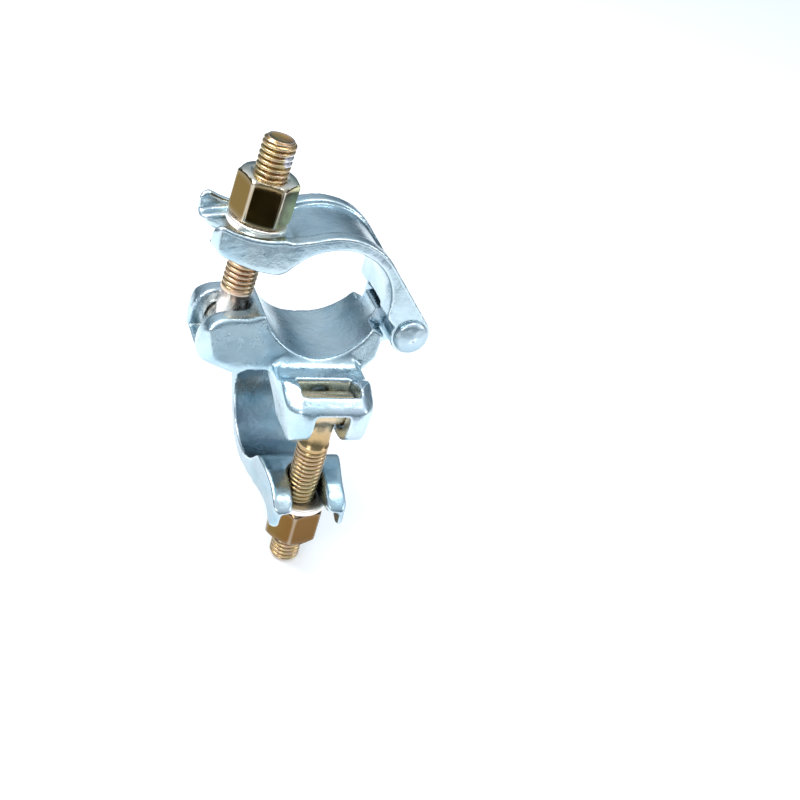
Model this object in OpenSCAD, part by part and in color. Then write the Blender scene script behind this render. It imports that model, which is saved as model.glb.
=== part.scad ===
// Right-angle (double) scaffold coupler for two round tubes that cross at 90 degrees.
// The lower tube lies along X through the origin. The upper tube lies along Y at height tube_pitch.
// The lower clamp is the upper clamp turned half a turn about the line x = y at half that height.

/* [Tubes] */
// Outside diameter of the scaffold tubes
tube_d = 48.3; // [47.8:0.1:48.8]
// Distance between the axes of the two tubes
tube_pitch = 57.5; // [57:0.5:58.5]
// Width of each clamp along its tube
clamp_w = 37; // [36.5:0.5:38.5]

/* [Body] */
// Wall of the saddle under the tube
saddle_t = 6; // [5:0.5:7]
// Distance from the tube axis to the nose of the slotted lug
lug_reach = 47.5; // [46.5:0.5:48.5]
// Drop of the lug's top below the tube axis
lug_top = 9.5; // [8.5:0.5:10.5]
// Drop of the lug's underside below the tube axis
lug_bot = 30.5; // [30:0.25:31]
// Rounding of the lug's nose as seen from above
nose_r = 10; // [8:0.5:10.5]
// Radius of the fillet between each lug and the other clamp
root_r = 7; // [5:0.5:7.5]
// How far the corner under each lug's nose is cut off, along the lug
nose_cut = 13; // [11:0.5:15]
// Forging draft on the flanks of the body, in degrees
draft = 13; // [9:0.5:15]
// Rounding between the nose and the lug's top
lug_top_r = 12; // [9:0.5:13]
// Width of the slot for the bolt in lug and cap
slot_w = 13.8; // [13.6:0.1:14]

/* [Cap] */
// Thickness of the cap's web over the tube
web_t = 3.2; // [2.8:0.1:3.6]
// Width of each raised edge rib
rib_w = 6; // [5:0.25:6.5]
// Half width of the fork at its tips
fork_w = 15.6; // [15.4:0.1:16.2]
// Height of the ribs over the bore
rib_h = 5; // [4.5:0.25:5.5]

/* [Hinge] */
// Distance of the hinge pin from the tube axis, sideways
hinge_x = 36; // [35.5:0.5:37]
// Drop of the hinge pin below the tube axis
hinge_drop = 12; // [11:0.5:13]
// Diameter of the hinge pin
pin_d = 10; // [9:0.5:10.5]
// Diameter of the knuckle around the pin
knuckle_d = 17; // [16.5:0.5:18]
// Width of the body's middle knuckle
tongue_w = 15; // [14:0.5:16]

/* [Bolt] */
// Major diameter of the bolt's half inch Whitworth thread
bolt_d = 12.7; // [12.5:0.1:12.8]
// Distance of the T-bar from the tube axis, sideways
bolt_x = 34; // [33.8:0.1:34.2]
// Drop of the T-bar below the tube axis
bolt_drop = 21.5; // [21:0.25:22]
// Length of the bolt from the T-bar to its end
bolt_len = 80; // [78:0.5:84]
// Lean of the closed upper bolt towards its tube, in degrees
lean_upper = 5.4; // [4.6:0.2:5.4]
// Lean of the closed lower bolt towards its tube, in degrees
lean_lower = 2; // [1:0.25:3]
// Diameter of the T-bar
bar_d = 13; // [12.7:0.1:13.2]
// Length of the T-bar
bar_len = 23; // [20:0.5:24]

/* [Nut and washer] */
// Height of the cap's seat above the T-bar, along the bolt
seat_s = 45; // [44.5:0.1:45.5]
// Width of the nut across its flats
nut_af = 20.8; // [20.6:0.1:21]
// Height of the nut
nut_h = 17.5; // [16:0.5:18]
// Outside diameter of the round washer
washer_d = 23; // [22:0.2:24]
// Thickness of the washer
washer_t = 3; // [2.5:0.25:3.5]

/* [Hidden] */
$fn = 96;
tube_r = tube_d / 2;
hw = clamp_w / 2;              // half width of a clamp
saddle_r = tube_r + saddle_t;  // outside of the saddle
web_r = tube_r + web_t;        // outside of the cap's web
rib_r = tube_r + rib_h;        // outside of the cap's ribs
kr = knuckle_d / 2;
tw = tongue_w / 2;
ear_in = tw + 0.4;             // inner face of the cap's ears
slot_h = slot_w / 2;
seat_y = max(washer_d / 2, nut_af / 2 / cos(30)) + 0.3;   // inner face of the ribs beside the washer
prong_r = (fork_w - slot_w / 2) / 2;  // rounding of the prong tips
turn_upper = -14;              // how far the upper nut is turned
turn_lower = 18;               // how far the lower nut is turned
mid_t = 4;                     // half height of the solid middle beyond the parting lines
parting = -28;                 // height of the parting line on the flanks
slot_floor = -26;              // floor of the body's slot at the nose
cut_i = [1 / nose_cut, 1 / 9, 1 / 7];   // the cut reaches 9 across the nose and 7 up it
cut_n = cut_i / norm(cut_i);   // its direction
zinc = "lightsteelblue";
gold = "goldenrod";
pink = "burlywood";

// ---------- frames ----------
// upper clamp: the tube axis is moved up to tube_pitch
module upper() translate([0, 0, tube_pitch]) children();
// lower clamp: half a turn about the line x = y
module lower() rotate(a = 180, v = [1, 1, 0]) children();
// a flat drawn in X and Z, made y0 to y1 deep
module slab(y0, y1) translate([0, y1, 0]) rotate([90, 0, 0]) linear_extrude(height = y1 - y0) children();
// a flat drawn in Y and Z, made x0 to x1 long
module rail(x0, x1) translate([x0, 0, 0]) rotate([90, 0, 90]) linear_extrude(height = x1 - x0) children();
// a round bar along Y
module bar_y(r, y0, y1) translate([0, y1, 0]) rotate([90, 0, 0]) cylinder(r = r, h = y1 - y0);
// the frame of the closed bolt: Z along the bolt, origin on the T-bar
module bolt_frame(lean) translate([-bolt_x, 0, -bolt_drop]) rotate([0, lean, 0]) children();

// ---------- flats, all in X and Z about the tube axis ----------
// a rectangle with two round corners on its left side
module nose_flat(x0, x1, z0, z1, rb, rt) {
  translate([x0 + rt, z1 - rt]) circle(r = rt);
  translate([x0 + rb, z0 + rb]) circle(r = rb);
  polygon([[x0 + rb, z0], [x1, z0], [x1, z1], [x0 + rt, z1], [x0 + rt, z1 - rt],
           [x0, z1 - rt], [x0, z0 + rb], [x0 + rb, z0 + rb]]);
}
// the saddle under the tube between two angles
module saddle_flat() difference() {
  circle(r = saddle_r);
  polygon([[0, 0], [60, -60 * tan(28)], [60, 60], [-60, 60], [-60, -60 * tan(18)]]);
}
// the neck from the saddle to the middle knuckle
module neck_flat() {
  translate([hinge_x, -hinge_drop]) circle(r = kr);
  polygon([[17, -22], [tube_r * cos(14), -tube_r * sin(14)],
           [hinge_x - 5.2, -hinge_drop + kr - 1.8], [hinge_x, -hinge_drop],
           [hinge_x + 3.2, -hinge_drop - kr + 0.7], [24, -24.5]]);
}
// the cap over the tube, with its arm down to the hinge
module cap_flat(r) {
  difference() {
    translate([-0.8, 0.3]) circle(r = r);
    polygon([[0, -4], [60, -4], [60, -60], [-60, -60], [-60, 13.2], [-20, 13.2]]);
  }
  polygon([[r * cos(40) - 0.8, r * sin(40) + 0.3],
           [hinge_x + kr * cos(37), -hinge_drop + kr * sin(37)],
           [hinge_x, -hinge_drop], [hinge_x - kr * cos(25), -hinge_drop + kr * sin(25)],
           [tube_r - 0.5, -3.9], [20, 5]]);
}
// one prong of the cap's fork: a belly beside the tube and an upturned lobe
module prong_flat() difference() {
  union() {
    translate([-44.4, 23.6]) circle(r = 5.7);
    translate([-24.4, 17]) circle(r = 5.6);
    polygon([[-44.4, 29.3], [-48.2, 19.4], [-44, 16.6], [-38, 13.9], [-31, 12.1], [-24.4, 11.4], [-19, 14],
             [-6, 22], [-2, 29.1], [-9, 28], [-21, 25.7], [-28, 31]]);
  }
  translate([-30.5, 25.4 + 30]) circle(r = 30);
}
// the fork as seen from above, with rounded prong tips
module fork_plan() {
  polygon([[-37, fork_w], [-18, hw], [0, hw], [0, -hw], [-18, -hw], [-37, -fork_w]]);
  for (s = [-1, 1]) {
    translate([-45.3, s * (fork_w - prong_r)]) circle(r = prong_r);
    polygon([[-45.3, s * (fork_w - 2 * prong_r)], [-45.3, s * fork_w], [-37, s * fork_w], [-37, s * (fork_w - 2 * prong_r)]]);
  }
}

// ---------- pieces, upper clamp ----------
// fillet from the lug's underside up the drafted flank of the other clamp, in four narrow flats
module root_flat() {
  r = root_r;
  w = -lug_bot - r;
  x = -hw + (-w + parting - 1.5) * tan(draft) - r / cos(draft);
  polygon(concat([[x, -lug_bot + 1]],
    [for (i = [0 : 4]) let (a = 90 - (90 - draft) * i / 4) [x + r * cos(a), w + r * sin(a)]],
    [[-hw + 5, w + r * sin(draft)], [-hw + 5, -lug_bot + 1]]));
}
// the lug's outline as seen from above
module lug_plan() {
  r = nose_r;
  polygon([[-lug_reach, hw - r], [-lug_reach + r, hw - r], [-lug_reach + r, hw], [-10, hw], [-10, -hw],
           [-lug_reach + r, -hw], [-lug_reach + r, -hw + r], [-lug_reach, -hw + r]]);
  for (s = [-1, 1]) translate([-lug_reach + r, s * (hw - r)]) circle(r = r);
}
// forged half: lug, saddle and middle knuckle
module half_body() {
  difference() {
    union() {
      intersection() {
        slab(-hw, hw) nose_flat(-lug_reach, -10, -lug_bot, -lug_top, 6, lug_top_r);
        translate([0, 0, -60]) linear_extrude(height = 60) lug_plan();
      }
      slab(-hw, hw) saddle_flat();
      // its ends fall away at 45 degrees
      intersection() {
        slab(-hw, hw) root_flat();
        rail(-60, 0) polygon([[-hw + 1, -lug_bot + 2], [-hw + 1, -lug_bot], [-hw + 12, -lug_bot - 11],
                              [hw - 12, -lug_bot - 11], [hw - 1, -lug_bot], [hw - 1, -lug_bot + 2]]);
      }
      // shoulder under the knuckle, as wide as the clamp
      slab(-hw, hw) polygon([[10, -27], [tube_r * cos(34), -tube_r * sin(34)], [25.8, -17], [24.5, -24], [19, -29.5]]);
    }
    // drafted flanks, widest at the parting line
    for (s = [0, 1]) mirror([0, s, 0]) translate([0, hw, parting]) rotate([draft, 0, 0])
      translate([-70, 0, 0]) cube([140, 30, 70]);
    // corners under the nose, cut off by a sloping plane
    for (s = [0, 1]) mirror([0, s, 0]) translate([-lug_reach + nose_cut, -hw, -lug_bot])
      rotate([0, acos(cut_n[2]), atan2(cut_n[1], cut_n[0])]) translate([-40, -40, -40]) cube([80, 80, 40]);
  }
  slab(-tw, tw) neck_flat();
}
// what is taken out of a forged half
module half_cuts() {
  // the tube
  bar_y(tube_r, -60, 60);
  // the slot, with a floor at the nose and a round inner end
  translate([-60, -slot_h, slot_floor]) cube([60 - bolt_x + 1.1, slot_w, 40]);
  translate([-bolt_x + 1.1, 0, slot_floor]) cylinder(r = slot_h, h = 40);
  // way in for the shank from below
  translate([-bolt_x - bar_d / 2 - 0.15, -slot_h, -60]) cube([bar_d + 0.3, slot_w, 61 + slot_floor]);
  // blind pockets for the T-bar, open below
  translate([-bolt_x, 0, -bolt_drop]) {
    bar_y(bar_d / 2 + 0.15, -bar_len / 2 - 0.3, bar_len / 2 + 0.3);
    translate([-bar_d / 2 - 0.15, -bar_len / 2 - 0.3, -20]) cube([bar_d + 0.3, bar_len + 0.6, 20]);
  }
  // room for the cap's ears
  for (s = [-1, 1]) translate([hinge_x, s * (ear_in - 0.4 + 15), -hinge_drop]) bar_y(kr + 0.4, -15, 15);
  // pin hole
  translate([hinge_x, 0, -hinge_drop]) bar_y(pin_d / 2 + 0.02, -30, 30);
}
module half_cap(lean) difference() {
  union() {
    intersection() {
      union() {
        slab(-hw, hw) cap_flat(web_r);
        for (s = [-1, 1]) translate([0, s * (hw - rib_w / 2), 0]) slab(-rib_w / 2, rib_w / 2) cap_flat(rib_r);
      }
      translate([0, 0, -60]) linear_extrude(height = 120) union() {
        fork_plan();
        translate([-1, -hw]) square([61, 2 * hw]);
      }
    }
    // the fork: full height in the ribs, cut down to the washer's seat between them
    intersection() {
      difference() {
        slab(-hw, hw) prong_flat();
        intersection() {
          translate([-80, -seat_y, 0]) cube([80, 2 * seat_y, 80]);
          bolt_frame(lean) union() {
            translate([-0.01, -30, seat_s]) cube([60, 60, 60]);
            difference() {
              translate([-60, -30, 20]) cube([60, 60, 60]);
              bar_y(seat_s, -40, 40);
            }
          }
        }
      }
      linear_extrude(height = 60) fork_plan();
    }
    // ears around the pin
    for (s = [-1, 1]) translate([hinge_x, s * (ear_in + hw) / 2, -hinge_drop])
      bar_y(kr, -(hw - ear_in) / 2, (hw - ear_in) / 2);
  }
  bar_y(tube_r, -60, 60);
  // the fork's slot
  bolt_frame(lean) {
    translate([-60, -slot_h, -20]) cube([60, slot_w, 100]);
    translate([0, 0, -20]) cylinder(r = slot_h, h = 100);
  }
  // flat for the washer where the crown rises
  bolt_frame(lean) intersection() {
    translate([0, 0, seat_s]) cylinder(r1 = washer_d / 2 + 0.3, r2 = washer_d / 2 + 12.3, h = 20);
    translate([-30, -seat_y, 0]) cube([60, 2 * seat_y, 100]);
  }
  // room for the body's middle knuckle and neck
  translate([hinge_x, 0, -hinge_drop]) bar_y(kr + 0.5, -ear_in, ear_in);
  translate([10, -ear_in, -40]) cube([hinge_x + 20, 2 * ear_in, 40 - 3]);
  // pin hole
  translate([hinge_x, 0, -hinge_drop]) bar_y(pin_d / 2 + 0.06, -60, 60);
}
// rivet with a round head at each end
module rivet() translate([hinge_x, 0, -hinge_drop]) {
  bar_y(pin_d / 2, -hw - 0.3, hw + 0.3);
  for (s = [0, 1]) mirror([0, s, 0]) translate([0, hw + 0.15, 0]) rotate([-90, 0, 0])
    rotate_extrude() polygon([[0, 0], [pin_d / 2 + 2.2, 0], [pin_d / 2 + 2.2, 0.8], [pin_d / 2 + 1.3, 2.2],
                              [pin_d / 2 - 0.8, 3.1], [0, 3.4]]);
}
// T-bolt: threaded shank on a short cross bar
module tee_bolt(lean) bolt_frame(lean) {
  rotate_extrude() polygon([[0, 0], [bolt_d / 2 - 0.4, 0], [bolt_d / 2 - 0.4, 17], [bolt_d / 2, 17.6],
                            [bolt_d / 2, bolt_len - 1.4], [bolt_d / 2 - 1.4, bolt_len], [0, bolt_len]]);
  bar_y(bar_d / 2, -bar_len / 2, bar_len / 2);
}
// hexagon nut with both ends chamfered
module hex_nut(lean, turn) bolt_frame(lean) translate([0, 0, seat_s + washer_t + 0.05]) difference() {
  intersection() {
    rotate([0, 0, turn]) cylinder(d = nut_af / cos(30), h = nut_h, $fn = 6);
    rotate_extrude() polygon([[0, 0], [nut_af / 2 - 0.3, 0], [nut_af / 2 + 2.2, 1.5], [nut_af / 2 + 2.2, nut_h - 1.5],
                              [nut_af / 2 - 0.3, nut_h], [0, nut_h]]);
  }
  translate([0, 0, -1]) cylinder(r = bolt_d / 2 + 0.05, h = nut_h + 2);
  translate([0, 0, -1]) cylinder(r1 = bolt_d / 2 + 1.8, r2 = bolt_d / 2, h = 1.8);
  translate([0, 0, nut_h - 0.8]) cylinder(r1 = bolt_d / 2, r2 = bolt_d / 2 + 1.8, h = 1.8);
}
// round washer with softened edges
module round_washer(lean) bolt_frame(lean) translate([0, 0, seat_s + 0.02]) difference() {
  rotate_extrude() polygon([[0, 0], [washer_d / 2 - 0.6, 0], [washer_d / 2, 0.6], [washer_d / 2, washer_t - 0.8],
                            [washer_d / 2 - 0.8, washer_t], [0, washer_t]]);
  translate([0, 0, -1]) cylinder(r = bolt_d / 2 + 0.4, h = washer_t + 2);
}

// ---------- nodes ----------
module body() color(zinc) difference() {
  union() {
    upper() half_body();
    lower() half_body();
    // solid middle between the two saddles
    translate([-hw, -hw, tube_pitch + parting - mid_t]) cube([2 * hw, 2 * hw, 2 * mid_t - tube_pitch - 2 * parting]);
  }
  upper() half_cuts();
  lower() half_cuts();
}
module cap_upper() color(zinc) upper() half_cap(lean_upper);
module cap_lower() color(zinc) lower() half_cap(lean_lower);
module hinge_pin_upper() color(zinc) upper() rivet();
module hinge_pin_lower() color(zinc) lower() rivet();
module t_bolt_upper() color(gold) upper() tee_bolt(lean_upper);
module t_bolt_lower() color(gold) lower() tee_bolt(lean_lower);
module nut_upper() color(gold) upper() hex_nut(lean_upper, turn_upper);
module nut_lower() color(gold) lower() hex_nut(lean_lower, turn_lower);
module washer_upper() color(pink) upper() round_washer(lean_upper);
module washer_lower() color(pink) lower() round_washer(lean_lower);

body();
cap_upper();
cap_lower();
hinge_pin_upper();
hinge_pin_lower();
t_bolt_upper();
t_bolt_lower();
nut_upper();
nut_lower();
washer_upper();
washer_lower();
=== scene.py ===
import bpy, math
import numpy as np
from mathutils import Vector, Matrix, noise


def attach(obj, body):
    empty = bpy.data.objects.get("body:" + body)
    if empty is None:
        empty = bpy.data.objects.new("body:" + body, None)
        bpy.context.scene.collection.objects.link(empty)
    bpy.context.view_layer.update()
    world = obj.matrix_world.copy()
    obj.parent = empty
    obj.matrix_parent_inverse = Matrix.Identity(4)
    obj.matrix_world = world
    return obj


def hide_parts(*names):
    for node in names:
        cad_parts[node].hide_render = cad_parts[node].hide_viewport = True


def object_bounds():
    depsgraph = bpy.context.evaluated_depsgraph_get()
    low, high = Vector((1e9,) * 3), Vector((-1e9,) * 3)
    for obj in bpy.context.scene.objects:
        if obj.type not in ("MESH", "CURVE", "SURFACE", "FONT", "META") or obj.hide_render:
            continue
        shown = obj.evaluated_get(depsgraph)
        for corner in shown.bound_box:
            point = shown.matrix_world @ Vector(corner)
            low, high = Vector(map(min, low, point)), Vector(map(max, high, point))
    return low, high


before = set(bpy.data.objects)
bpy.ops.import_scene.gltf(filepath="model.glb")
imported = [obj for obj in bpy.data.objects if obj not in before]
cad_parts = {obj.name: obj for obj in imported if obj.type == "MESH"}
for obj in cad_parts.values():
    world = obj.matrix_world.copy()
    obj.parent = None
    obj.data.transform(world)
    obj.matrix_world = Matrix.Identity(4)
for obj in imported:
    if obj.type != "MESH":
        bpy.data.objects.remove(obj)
CAD_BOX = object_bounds()

# ---------- numbers repeated from the part's source, in metres ----------
MM = 0.001
H = 57.5 * MM
BOLT_X, BOLT_DROP, BOLT_LEN, BOLT_R = 34 * MM, 21.5 * MM, 80 * MM, 6.35 * MM
BAR_R, BAR_L = 6.5 * MM, 23 * MM
SEAT, WASH_R, WASH_T = 45 * MM, 11.5 * MM, 3 * MM
NUT_AF, NUT_H = 20.8 * MM, 17.5 * MM
HINGE_X, HINGE_DROP, PIN_R, HW = 36 * MM, 12 * MM, 5 * MM, 18.5 * MM
PITCH = 25.4 / 12 * MM
UP = Matrix.Translation((0, 0, H))
LOW = Matrix(((0, 1, 0, 0), (1, 0, 0, 0), (0, 0, -1, 0), (0, 0, 0, 1)))


def bolt_frame(side):
    clamp, lean = (UP, 5.4) if side == "upper" else (LOW, 2.0)
    return clamp @ Matrix.Translation((-BOLT_X, 0, -BOLT_DROP)) @ Matrix.Rotation(math.radians(lean), 4, "Y")


# ---------- mesh helpers ----------
def make(name, verts, faces, mat, body, slot, *cad):
    me = bpy.data.meshes.new(name)
    me.from_pydata([tuple(v) for v in verts], [], faces)
    me.validate()
    me.update()
    ob = bpy.data.objects.new(name, me)
    bpy.context.scene.collection.objects.link(ob)
    finish_piece(ob, mat, body, slot, *cad)
    return ob


def finish_piece(ob, mat, body, slot, *cad):
    ob.data.materials.clear()
    ob.data.materials.append(mat)
    for p in ob.data.polygons:
        p.use_smooth = True
    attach(ob, body)
    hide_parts(*cad)


def lathe(profile, n, m):
    """closed ring of (radius, z) points turned about Z, then placed by m"""
    verts = [m @ Vector((r * math.cos(2 * math.pi * i / n), r * math.sin(2 * math.pi * i / n), z))
             for i in range(n) for r, z in profile]
    k = len(profile)
    faces = [(i * k + j, ((i + 1) % n) * k + j, ((i + 1) % n) * k + (j + 1) % k, i * k + (j + 1) % k)
             for i in range(n) for j in range(k)]
    return verts, faces


def smoothed(me, passes, weight=None):
    ob = bpy.data.objects.new("work", me)
    bpy.context.scene.collection.objects.link(ob)
    m = ob.modifiers.new("round", "SMOOTH")
    m.factor = 0.5
    m.iterations = passes
    if weight is not None:
        g = ob.vertex_groups.new(name="w")
        q = np.round(weight * 10).astype(int)
        for lv in range(1, 11):
            ids = np.nonzero(q == lv)[0]
            if len(ids):
                g.add(ids.tolist(), lv / 10, "REPLACE")
        m.vertex_group = "w"
    dg = bpy.context.evaluated_depsgraph_get()
    out = bpy.data.meshes.new_from_object(ob.evaluated_get(dg))
    bpy.data.objects.remove(ob)
    return out


def coords(me, what="co"):
    a = np.empty(len(me.vertices) * 3)
    me.vertices.foreach_get(what, a)
    return a.reshape(-1, 3)


def ease(x, lo, hi):
    t = np.clip((x - lo) / (hi - lo), 0, 1)
    return t * t * (3 - 2 * t)


def outer(co):
    """1 on the slotted lugs and forks, 0 over the tubes and hinges, for both clamps"""
    x, y, z = co[:, 0], co[:, 1], co[:, 2]
    up = ease(-x, 16 * MM, 23 * MM) * (z > H / 2 - 4 * MM)
    lo = ease(-y, 16 * MM, 23 * MM) * (z < H / 2 + 4 * MM)
    return np.maximum(up, lo)


def mark_edges(me):
    """a smoothed measure of how far each vertex stands out from its neighbours, kept as the attribute rim"""
    co, nr = coords(me), coords(me, "normal")
    e = np.empty(len(me.edges) * 2, dtype=np.int32)
    me.edges.foreach_get("vertices", e)
    i, j = e[0::2], e[1::2]
    n = len(co)
    deg = np.maximum(np.bincount(i, minlength=n) + np.bincount(j, minlength=n), 1)

    def mean(v):
        return (np.bincount(i, v[j], n) + np.bincount(j, v[i], n)) / deg
    size = np.linalg.norm(co[i] - co[j], axis=1).mean()
    out = sum((co[:, k] - mean(co[:, k])) * nr[:, k] for k in range(3)) / size
    for _ in range(7):
        out = 0.4 * out + 0.6 * mean(out)
    a = me.attributes.new("rim", "FLOAT", "POINT")
    a.data.foreach_set("value", out.astype(np.float32))


def forge(node, name, voxel, passes, more, mat, body, slot):
    """the CAD node as a forging: same shape, its edges and corners rounded"""
    ob = bpy.data.objects.new(name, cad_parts[node].data.copy())
    bpy.context.scene.collection.objects.link(ob)
    # turned off the grid's axes while it is remeshed, so that no flat face lies in a grid plane
    turn = Matrix.Rotation(0.41, 4, Vector((0.37, 0.53, 0.76)))
    ob.data.transform(turn)
    r = ob.modifiers.new("grid", "REMESH")
    r.mode = "VOXEL"
    r.voxel_size = voxel
    dg = bpy.context.evaluated_depsgraph_get()
    me = bpy.data.meshes.new_from_object(ob.evaluated_get(dg))
    ob.modifiers.clear()
    me.transform(turn.inverted())
    me = smoothed(me, passes)
    me = smoothed(me, more, outer(coords(me)))
    mark_edges(me)
    ob.data = me
    # skin of the forging: shallow uneven dents
    co, nr = coords(me), coords(me, "normal")
    d = [noise.noise((x * 95, y * 95, z * 95)) * 0.12 + noise.noise((x * 300 + 5, y * 300 + 2, z * 300 + 9)) * 0.02 - 0.03
         for x, y, z in co]
    co = co + nr * (np.minimum(np.array(d), 0.03)[:, None] * MM)
    co = np.clip(co, np.array(CAD_BOX[0]) + 1e-6, np.array(CAD_BOX[1]) - 1e-6)
    me.vertices.foreach_set("co", co.ravel())
    me.update()
    finish_piece(ob, mat, body, slot, node)
    return ob


# ---------- materials ----------
def new_mat(name):
    m = bpy.data.materials.new(name)
    m.use_nodes = True
    nt = m.node_tree
    nt.nodes.clear()
    out = nt.nodes.new("ShaderNodeOutputMaterial")
    b = nt.nodes.new("ShaderNodeBsdfPrincipled")
    nt.links.new(b.outputs[0], out.inputs[0])
    b.inputs["Metallic"].default_value = 1.0
    tc = nt.nodes.new("ShaderNodeTexCoord")
    return m, nt, b, tc.outputs["Object"]


def tex(nt, co, scale, detail=4, rough=0.5, dist=0.0):
    n = nt.nodes.new("ShaderNodeTexNoise")
    n.inputs["Scale"].default_value = scale
    n.inputs["Detail"].default_value = detail
    n.inputs["Roughness"].default_value = rough
    n.inputs["Distortion"].default_value = dist
    nt.links.new(co, n.inputs["Vector"])
    return n.outputs["Fac"]


def ramp(nt, src, stops):
    r = nt.nodes.new("ShaderNodeValToRGB")
    e = r.color_ramp.elements
    while len(e) < len(stops):
        e.new(0.5)
    for el, (p, c) in zip(e, stops):
        el.position = p
        el.color = (c if len(c) == 4 else (*c, 1)) if isinstance(c, tuple) else (c, c, c, 1)
    nt.links.new(src, r.inputs[0])
    return r.outputs[0]


def mix(nt, fac, a, b, mode="MIX"):
    m = nt.nodes.new("ShaderNodeMix")
    m.data_type = "RGBA"
    m.blend_type = mode
    if isinstance(fac, float):
        m.inputs[0].default_value = fac
    else:
        nt.links.new(fac, m.inputs[0])
    for src, sock in ((a, m.inputs[6]), (b, m.inputs[7])):
        if isinstance(src, tuple):
            sock.default_value = (*src, 1)
        else:
            nt.links.new(src, sock)
    return m.outputs[2]


def bump(nt, b, layers):
    prev = None
    for src, dist, strength in layers:
        n = nt.nodes.new("ShaderNodeBump")
        n.inputs["Distance"].default_value = dist
        n.inputs["Strength"].default_value = strength
        nt.links.new(src, n.inputs["Height"])
        if prev is not None:
            nt.links.new(prev, n.inputs["Normal"])
        prev = n.outputs[0]
    nt.links.new(prev, b.inputs["Normal"])


def point(nt):
    return nt.nodes.new("ShaderNodeNewGeometry").outputs["Pointiness"]


def zinc(name, tint, lo, hi, grain, marked=True):
    m, nt, b, co = new_mat(name)
    cloud = tex(nt, co, 60, 5, 0.6, 0.6)
    col = ramp(nt, cloud, [(0.3, tuple(t * 0.74 for t in tint)), (0.5, tint), (0.72, tuple(min(1, t * 1.16) for t in tint))])
    # passivation tints: blue, teal and faint violet patches
    tone = tex(nt, co, 30, 3, 0.5, 1.0)
    col = mix(nt, 0.40, col, ramp(nt, tone, [(0.34, (0.24, 0.46, 0.60)), (0.50, (0.48, 0.62, 0.68)), (0.68, (0.50, 0.54, 0.66))]))
    if marked:
        at = nt.nodes.new("ShaderNodeAttribute")
        at.attribute_name = "rim"
        deep, high = span(nt, at.outputs["Fac"], -0.012, -0.07), span(nt, at.outputs["Fac"], 0.015, 0.085)
    else:
        deep, high = ramp(nt, point(nt), [(0.435, 1.0), (0.495, 0.0)]), ramp(nt, point(nt), [(0.51, 0.0), (0.60, 1.0)])
    # painted shade: the hollows are darkened towards dark teal
    col = mix(nt, mix(nt, 0.45, (0.0, 0.0, 0.0), deep), col, (0.08, 0.15, 0.20))
    # painted highlight on the convex edges, partly edge wear: whitened towards pale blue-white
    col = mix(nt, mix(nt, 0.62, (0.0, 0.0, 0.0), high), col, (0.92, 0.97, 1.0))
    speck = ramp(nt, tex(nt, co, 700, 2, 0.7), [(0.66, 0.0), (0.78, 0.30)])
    col = mix(nt, speck, col, (0.24, 0.28, 0.32))
    nt.links.new(col, b.inputs["Base Color"])
    nt.links.new(ramp(nt, tex(nt, co, 150, 5, 0.65), [(0.3, lo), (0.7, hi)]), b.inputs["Roughness"])
    bump(nt, b, [(tex(nt, co, 120, 3, 0.5), 0.0005, 0.22 * grain), (tex(nt, co, 400, 4, 0.6, 0.4), 0.00045, 0.36 * grain),
                 (tex(nt, co, 1100, 3, 0.6), 0.00006, 0.12 * grain)])
    return m


def along(nt, co, axis, origin):
    """distance from origin along axis, in metres"""
    d = nt.nodes.new("ShaderNodeVectorMath")
    d.operation = "SUBTRACT"
    nt.links.new(co, d.inputs[0])
    d.inputs[1].default_value = tuple(origin)
    e = nt.nodes.new("ShaderNodeVectorMath")
    e.operation = "DOT_PRODUCT"
    nt.links.new(d.outputs[0], e.inputs[0])
    e.inputs[1].default_value = tuple(axis)
    return e.outputs["Value"]


def away(nt, co, origin):
    """distance from origin, in metres"""
    d = nt.nodes.new("ShaderNodeVectorMath")
    d.operation = "DISTANCE"
    nt.links.new(co, d.inputs[0])
    d.inputs[1].default_value = tuple(origin)
    return d.outputs["Value"]


def span(nt, src, lo, hi, wob=None):
    """0 below lo, 1 above hi"""
    r = nt.nodes.new("ShaderNodeMapRange")
    r.interpolation_type = "SMOOTHSTEP"
    r.inputs["From Min"].default_value = lo
    r.inputs["From Max"].default_value = hi
    if wob is not None:
        r.inputs["From Min"].default_value = lo + (hi - lo) * 0.75
        r.inputs["From Max"].default_value = hi + (hi - lo) * 0.75
        k = nt.nodes.new("ShaderNodeMath")
        k.operation = "MULTIPLY_ADD"
        nt.links.new(wob, k.inputs[0])
        k.inputs[1].default_value = (hi - lo) * 1.5
        nt.links.new(src, k.inputs[2])
        src = k.outputs[0]
    nt.links.new(src, r.inputs["Value"])
    return r.outputs["Result"]


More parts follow.
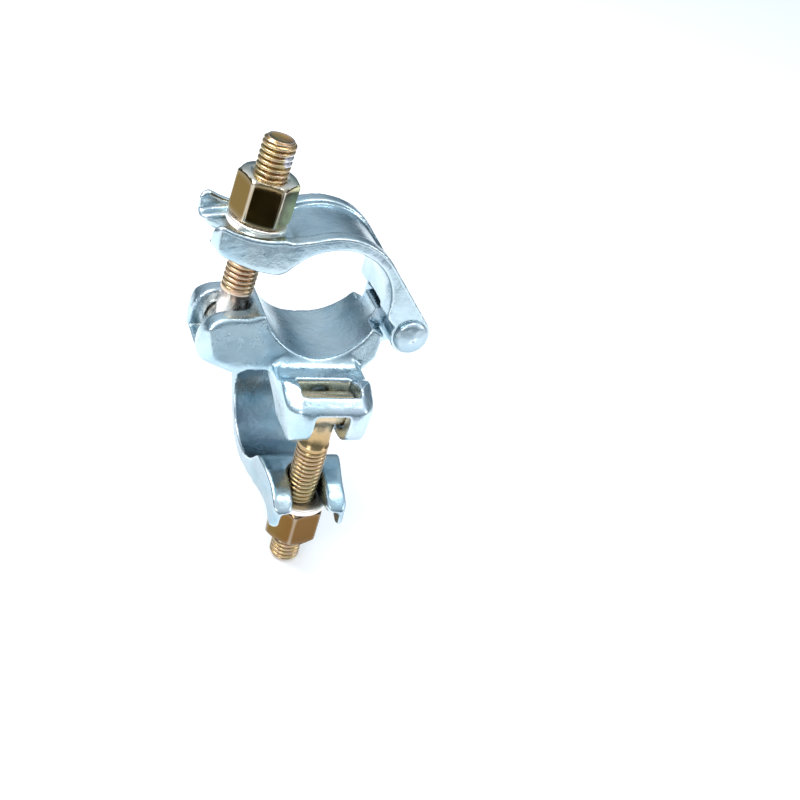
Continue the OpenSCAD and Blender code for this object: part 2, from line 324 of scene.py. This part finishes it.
def yellow(name, dark, light, lo, hi, edge_highlight_col=(0.97, 0.90, 0.74), iri=0.30, extra=None, grain=1.0, deep=0.8, rim=0.5):
    m, nt, b, co = new_mat(name)
    col = ramp(nt, tex(nt, co, 70, 4, 0.6, 0.8), [(0.3, dark), (0.6, light)])
    # iridescence of the chromate: green, gold, orange, pink
    ir = ramp(nt, tex(nt, co, 110, 2, 0.5, 1.5), [(at, tuple(v * deep for v in c)) for at, c in (
        (0.32, (0.42, 0.52, 0.20)), (0.45, (0.80, 0.58, 0.22)), (0.56, (0.86, 0.46, 0.22)), (0.68, (0.82, 0.50, 0.50)))])
    col = mix(nt, iri, col, ir)
    if extra:
        col = extra(nt, co, col)
    # painted shade: the hollows are darkened towards dark brown
    col = mix(nt, ramp(nt, point(nt), [(0.44, 0.70), (0.495, 0.0)]), col, (0.13, 0.07, 0.025))
    # painted highlight on the convex edges, partly edge wear, in the pale edge colour
    col = mix(nt, ramp(nt, point(nt), [(0.505, 0.0), (0.56, rim)]), col, edge_highlight_col)
    nt.links.new(col, b.inputs["Base Color"])
    nt.links.new(ramp(nt, tex(nt, co, 240, 4, 0.6), [(0.3, lo), (0.7, hi)]), b.inputs["Roughness"])
    bump(nt, b, [(tex(nt, co, 300, 3, 0.5), 0.00012, 0.14 * grain), (tex(nt, co, 1400, 2, 0.6), 0.00004, 0.20 * grain)])
    return m


def bolt_tints_and_painted_light(side):
    m = bolt_frame(side)
    ax = (m.to_3x3() @ Vector((0, 0, 1))).normalized()

    def tints(nt, co, col):
        s = along(nt, co, ax, m.translation)
        wob = tex(nt, co, 260, 3, 0.5)
        # pink and copper low on the shank, straw higher up, pale near the cross bar; the lower bolt's colours are
        # darker copies of the upper bolt's, painted shade
        col = mix(nt, mix(nt, 0.6, span(nt, s, 44 * MM, 30 * MM, wob), (0.0, 0.0, 0.0), "MIX"), col, (0.56, 0.32, 0.22) if side == "upper" else (0.40, 0.22, 0.10))
        col = mix(nt, span(nt, s, 19 * MM, 15.5 * MM), col, (1.0, 0.84, 0.75) if side == "upper" else (0.46, 0.32, 0.16))
        # brown face at the sheared end
        col = mix(nt, span(nt, s, 79.55 * MM, 79.75 * MM), col, (0.36, 0.20, 0.10))
        if side == "upper":
            # grey-lilac rub mark on the threads, partly a painted highlight on the worn flats
            patch = away(nt, co, m @ Vector((4.1 * MM, -4.9 * MM, 73.5 * MM)))
            col = mix(nt, span(nt, patch, 3.6 * MM, 2.0 * MM, wob), col, (0.62, 0.60, 0.66))
        return col
    return tints


def nut_tints_and_side_shade(side):
    m = bolt_frame(side)

    def tints(nt, co, col):
        # painted light and shade by side, partly the chromate's own tint: the upper nut greener and lighter on the side
        # away from the nose, browner and darker at the nose; the lower nut dark brown on both sides, painted shade
        s = along(nt, co, (m.to_3x3() @ Vector((1, 0, 0))).normalized(), m.translation)
        col = mix(nt, span(nt, s, 3 * MM, 9.5 * MM, tex(nt, co, 180, 2, 0.5)), col, (0.47, 0.45, 0.20) if side == "upper" else (0.15, 0.062, 0.013))
        return mix(nt, span(nt, s, -3 * MM, -9.5 * MM), col, (0.145, 0.088, 0.014) if side == "upper" else (0.17, 0.085, 0.022))
    return tints


ZINC = zinc("zinc_forging", (0.52, 0.64, 0.70), 0.20, 0.36, 1.0)
# the lower cap's zinc is a darker copy of the upper cap's: painted shade on the same zinc
ZINC_CAP = {"upper": zinc("zinc_cap_upper", (0.50, 0.60, 0.65), 0.17, 0.30, 0.7),
            "lower": zinc("zinc_cap_lower_painted_shade", (0.36, 0.44, 0.48), 0.17, 0.30, 0.7)}
ZINC_PIN = zinc("zinc_rivet", (0.46, 0.54, 0.59), 0.24, 0.40, 1.1, False)
GOLD = {q: yellow(f"yellow_bolt_{q}", (0.22, 0.125, 0.04), (0.38, 0.255, 0.09), 0.20, 0.36, extra=bolt_tints_and_painted_light(q))
        for q in ("upper", "lower")}
# the lower nut's edges get half the painted highlight of the upper nut's, as painted shade
GOLD_NUT = {q: yellow(f"yellow_nut_{q}", (0.13, 0.075, 0.02), (0.22, 0.135, 0.035), 0.05, 0.13, (1.0, 0.95, 0.84), 0.20, nut_tints_and_side_shade(q), 0.5, 0.35, 0.9 if q == "upper" else 0.45)
            for q in ("upper", "lower")}
CREAM = yellow("yellow_washer", (0.94, 0.82, 0.73), (1.0, 0.93, 0.86), 0.26, 0.40, (1.0, 0.97, 0.94), 0.12, None, 1.0, 1.0)

# ---------- forged pieces ----------
VOX = 0.00038
PASS, MORE = ((38, 60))
forge("body", "forged_body", VOX, PASS, MORE, ZINC, "forging", "forging")
for side in ("upper", "lower"):
    forge(f"cap_{side}", f"forged_cap_{side}", VOX, PASS, MORE, ZINC_CAP[side], f"{side}_cap", "forging")


# ---------- rivets ----------
def rivet(side):
    m = (UP if side == "upper" else LOW) @ Matrix.Translation((HINGE_X, 0, -HINGE_DROP)) @ Matrix.Rotation(-math.pi / 2, 4, "X")
    rh, z0 = PIN_R + 2.2 * MM, HW + 0.15 * MM
    half = [(PIN_R, 0.0)] + [(PIN_R, z0), (rh - 0.1 * MM, z0), (rh, z0 + 0.4 * MM)]
    half += [(rh * math.cos(a) if k else rh - 0.1 * MM, z0 + 0.7 * MM + 2.6 * MM * math.sin(a))
             for k, a in ((k, math.radians(90 * k / 10)) for k in range(0, 10))]
    top = z0 + 3.35 * MM
    ring = half + [(1e-5, top)]
    prof = [(r, -z) for r, z in reversed(ring)] + ring[1:]
    v, f = lathe(prof, 64, m)
    # hammered heads
    c0 = m.translation
    ax = (m.to_3x3() @ Vector((0, 0, 1))).normalized()
    v = [p + ax * (math.copysign(1, (p - c0).dot(ax)) * noise.noise(p * 420) * 0.14 * MM - math.copysign(0.08 * MM, (p - c0).dot(ax)))
         if abs((p - c0).dot(ax)) > z0 + 0.5 * MM else p for p in v]
    make(f"rivet_{side}", v, f, ZINC_PIN, "forging", "rivet", f"hinge_pin_{side}")


# ---------- bolts with a rolled right-hand thread ----------
def bolt(side):
    m = bolt_frame(side)
    n, dz = ((72, 0.16 * MM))
    start, depth = 17.5 * MM, 0.95 * MM
    zs = [0.0, 10 * MM, 16.9 * MM]
    z = 17 * MM
    while z < BOLT_LEN - 0.01 * MM:
        zs.append(z)
        z += dz
    zs.append(BOLT_LEN)
    verts = []
    for z in zs:
        for i in range(n):
            t = 2 * math.pi * i / n
            ph = (z / PITCH - i / n) % 1.0
            tri = abs(2 * ph - 1)                       # 0 at the root, 1 at the crest
            cut = depth * (1 - min(1.0, max(0.0, (tri - 0.08) / 0.60)) ** 0.8)
            run_in = min(1.0, max(0.0, (z - start) / (3 * MM)))
            r = BOLT_R - 0.02 * MM - cut * run_in
            r = min(r, BOLT_R - 1.4 * MM + (BOLT_LEN - z)) if z > BOLT_LEN - 1.4 * MM else r
            if z < 17 * MM:
                r = BOLT_R - 0.4 * MM
            verts.append(m @ Vector((r * math.cos(t), r * math.sin(t), z)))
    faces = [(k * n + i, k * n + (i + 1) % n, (k + 1) * n + (i + 1) % n, (k + 1) * n + i)
             for k in range(len(zs) - 1) for i in range(n)]
    # slightly dished, sheared end
    k0, last = (len(zs) - 1) * n, len(verts)
    for j, f in enumerate((0.86, 0.7, 0.25)):
        for i in range(n):
            t = 2 * math.pi * i / n
            r = (BOLT_R - 1.4 * MM) * f
            verts.append(m @ Vector((r * math.cos(t), r * math.sin(t), BOLT_LEN - (0.62 + 0.06 * math.sin(3 * t)) * MM * (1 if f < 0.75 else 0.15))))
    rows = [k0, last, last + n, last + 2 * n]
    for a, b in zip(rows, rows[1:]):
        faces += [(a + i, a + (i + 1) % n, b + (i + 1) % n, b + i) for i in range(n)]
    faces.append(tuple(rows[-1] + i for i in range(n)))
    faces.append(tuple(reversed(range(n))))
    # cross bar with rounded ends, in the same piece
    base = len(verts)
    e = 1.2 * MM
    prof = [(1e-5, -BAR_L / 2), (BAR_R - e, -BAR_L / 2)] + \
           [(BAR_R - e + e * math.sin(a), -BAR_L / 2 + e - e * math.cos(a)) for a in (math.radians(x) for x in (30, 60, 90))]
    prof = prof + [(r, -z) for r, z in reversed(prof)]
    bv, bf = lathe(prof, 56, m @ Matrix.Rotation(math.radians(-90), 4, "X"))
    verts += bv
    faces += [tuple(base + q for q in f) for f in bf]
    make(f"threaded_bolt_{side}", verts, faces, GOLD[side], f"{side}_t_bolt", "bolt", f"t_bolt_{side}")


# ---------- high hexagon nuts, chamfered both ends ----------
def hexnut(side):
    m = bolt_frame(side) @ Matrix.Translation((0, 0, SEAT + WASH_T + 0.05 * MM)) @ \
        Matrix.Rotation(math.radians(-14 if side == "upper" else 18), 4, "Z")
    per = 32
    n = 6 * per
    r_in = BOLT_R + 0.03 * MM
    a2, rc = NUT_AF / 2, 1.3 * MM
    verts = []

    def hexr(t):
        """the flats, joined by arcs of radius rc"""
        d = abs((t + math.pi / 6) % (math.pi / 3) - math.pi / 6)      # 0 at a corner
        q = math.pi / 6 - d                                            # 0 at the middle of a flat
        c = (a2 - rc) / math.cos(math.pi / 6)                          # centre of the corner arc
        if a2 * math.tan(q) <= c * math.sin(math.pi / 6):
            return a2 / math.cos(q)
        return c * math.cos(d) + math.sqrt(max(0.0, rc * rc - (c * math.sin(d)) ** 2))

    def drop(r):
        return max(0.0, (r - (a2 - 0.3 * MM)) * 0.6)
    for i in range(n):
        t = 2 * math.pi * i / n
        R = hexr(t)
        d = drop(R)
        flat = a2 - 0.3 * MM
        ring = [(r_in, 1.8 * MM), (r_in + 1.6 * MM, 0.0), (flat, 0.0)]
        ring += [(flat + (R - flat) * f, drop(flat + (R - flat) * f)) for f in (0.5,)]
        w = 0.85 * MM
        ring += [(R - w + w * math.sin(g), d + w * 0.9 * (1 - math.cos(g))) for g in (math.radians(k) for k in (40, 62, 78, 90))]
        ring += [(R, d + (NUT_H - 2 * d) * f) for f in (0.2, 0.5, 0.8)]
        ring += [(R - w + w * math.sin(g), NUT_H - d - w * 0.9 * (1 - math.cos(g))) for g in (math.radians(k) for k in (90, 78, 62, 40))]
        ring += [(flat + (R - flat) * f, NUT_H - drop(flat + (R - flat) * f)) for f in (0.5,)]
        ring += [(flat, NUT_H), (r_in + 1.0 * MM, NUT_H), (r_in, NUT_H - 0.8 * MM)]
        k = len(ring)
        verts += [m @ Vector((r * math.cos(t), r * math.sin(t), z)) for r, z in ring]
    faces = [(i * k + j, ((i + 1) % n) * k + j, ((i + 1) % n) * k + (j + 1) % k, i * k + (j + 1) % k)
             for i in range(n) for j in range(k)]
    ob = make(f"high_nut_{side}", verts, faces, GOLD_NUT[side], f"{side}_nut", "bolt", f"nut_{side}")
    ob.data.set_sharp_from_angle(angle=math.radians(32))


# ---------- round washers ----------
def washer(side):
    m = bolt_frame(side) @ Matrix.Translation((0, 0, SEAT + 0.02 * MM))
    ri, ro, t, e = BOLT_R + 0.4 * MM, WASH_R, WASH_T, 0.7 * MM
    prof = [(ri, 0.2 * MM), (ri + 0.2 * MM, 0.0), (ro - e, 0.0)]
    prof += [(ro - e + e * math.sin(a), e - e * math.cos(a)) for a in (math.radians(x) for x in (25, 50, 75, 90))]
    prof += [(ro - e + e * math.cos(a), t - e + e * math.sin(a)) for a in (math.radians(x) for x in (0, 20, 40, 60, 80, 90))]
    prof += [(ri + 0.2 * MM, t), (ri, t - 0.2 * MM)]
    v, f = lathe(prof, 96, m)
    make(f"round_washer_{side}", v, f, CREAM, f"{side}_washer", "washer", f"washer_{side}")


for side in ("upper", "lower"):
    rivet(side)
    bolt(side)
    hexnut(side)
    washer(side)


# ---------- stage, lights and camera ----------
def stage_plane(name, size, loc, rot, colour, rough, glow=0.0):
    sx, sy = size[0] / 2, size[1] / 2
    me = bpy.data.meshes.new(name)
    me.from_pydata([(-sx, -sy, 0), (sx, -sy, 0), (sx, sy, 0), (-sx, sy, 0)], [], [(0, 1, 2, 3)])
    ob = bpy.data.objects.new(name, me)
    bpy.context.scene.collection.objects.link(ob)
    ob.location = loc
    ob.rotation_euler = rot
    m = bpy.data.materials.new(name)
    m.use_nodes = True
    b = m.node_tree.nodes["Principled BSDF"]
    b.inputs["Base Color"].default_value = (*colour, 1)
    b.inputs["Roughness"].default_value = rough
    b.inputs["Emission Color"].default_value = (*colour, 1)
    b.inputs["Emission Strength"].default_value = glow
    me.materials.append(m)
    return ob


floor_z = CAD_BOX[0][2] - 0.0003
stage_plane("floor", (12, 12), (0, 0, floor_z), (0, 0, 0), (0.93, 0.93, 0.94), 0.8, 0.22)
# a dark card lying in front of the view, for the dark side of the metal's reflections
stage_plane("card", (0.10, 0.28), (-0.10, -0.38, floor_z + 0.001), (0, 0, math.radians(-12)), (0.012, 0.016, 0.014), 0.9)

# a grey card where the caps' fronts look, so their rims stay brighter than their faces
stage_plane("grey_card", (0.225, 0.27), (0.083, -0.40, floor_z + 0.0005), (0, 0, 0), (0.10, 0.15, 0.18), 0.9)


def area(name, loc, target, size, power, colour=(1, 1, 1)):
    li = bpy.data.lights.new(name, "AREA")
    li.shape = "RECTANGLE"
    li.size, li.size_y = size
    li.energy = power
    li.color = colour
    ob = bpy.data.objects.new(name, li)
    bpy.context.scene.collection.objects.link(ob)
    ob.location = loc
    ob.rotation_euler = (Vector(target) - Vector(loc)).to_track_quat("-Z", "Y").to_euler()
    return ob


area("key", (-0.55, 0.15, 0.95), (0, 0, 0.03), (0.45, 0.45), 7, (1.0, 0.985, 0.965))
area("top", (0.25, -0.1, 1.1), (0, 0, 0.03), (0.25, 0.7), 3.2, (0.95, 0.98, 1.0))
area("side", (0.9, -0.5, 0.5), (0, 0, 0.03), (0.3, 0.5), 1.8, (0.96, 0.98, 1.0))
area("front", (-0.75, -0.75, 0.62), (0, 0, 0.03), (0.30, 0.30), 2.4, (0.95, 0.98, 1.0))
w = bpy.data.worlds.new("studio")
bpy.context.scene.world = w
w.use_nodes = True
nt = w.node_tree
bg = nt.nodes["Background"]
tc = nt.nodes.new("ShaderNodeTexCoord")
sep = nt.nodes.new("ShaderNodeSeparateXYZ")
nt.links.new(tc.outputs["Generated"], sep.inputs[0])
rp = nt.nodes.new("ShaderNodeValToRGB")
e = rp.color_ramp.elements
e[0].position, e[0].color = 0.0, (0.06, 0.09, 0.12, 1)
e[1].position, e[1].color = 0.85, (0.92, 1.00, 1.06, 1)
for at, c in ((0.22, (0.16, 0.23, 0.28, 1)), (0.50, (0.55, 0.64, 0.72, 1))):
    e.new(at).color = c
nt.links.new(sep.outputs["Z"], rp.inputs[0])
nt.links.new(rp.outputs[0], bg.inputs[0])
bg.inputs[1].default_value = 1.0

cam = bpy.data.cameras.new("camera")
cob = bpy.data.objects.new("camera", cam)
bpy.context.scene.collection.objects.link(cob)
cam.sensor_width = 36.0
cam.lens = 1090.77 / 800 * 36.0
cam.clip_start = 0.01
CAMERA = ((0.916785, -0.005171, -0.399348, -0.141633), (-0.315793, 0.602761, -0.732772, -0.351651), (0.244500, 0.797905, 0.550969, 0.264264), (0.000000, 0.000000, 0.000000, 1.000000))
cob.matrix_world = Matrix(CAMERA)
bpy.context.scene.camera = cob
bpy.context.scene.view_settings.view_transform = "Standard"

bpy.context.view_layer.update()
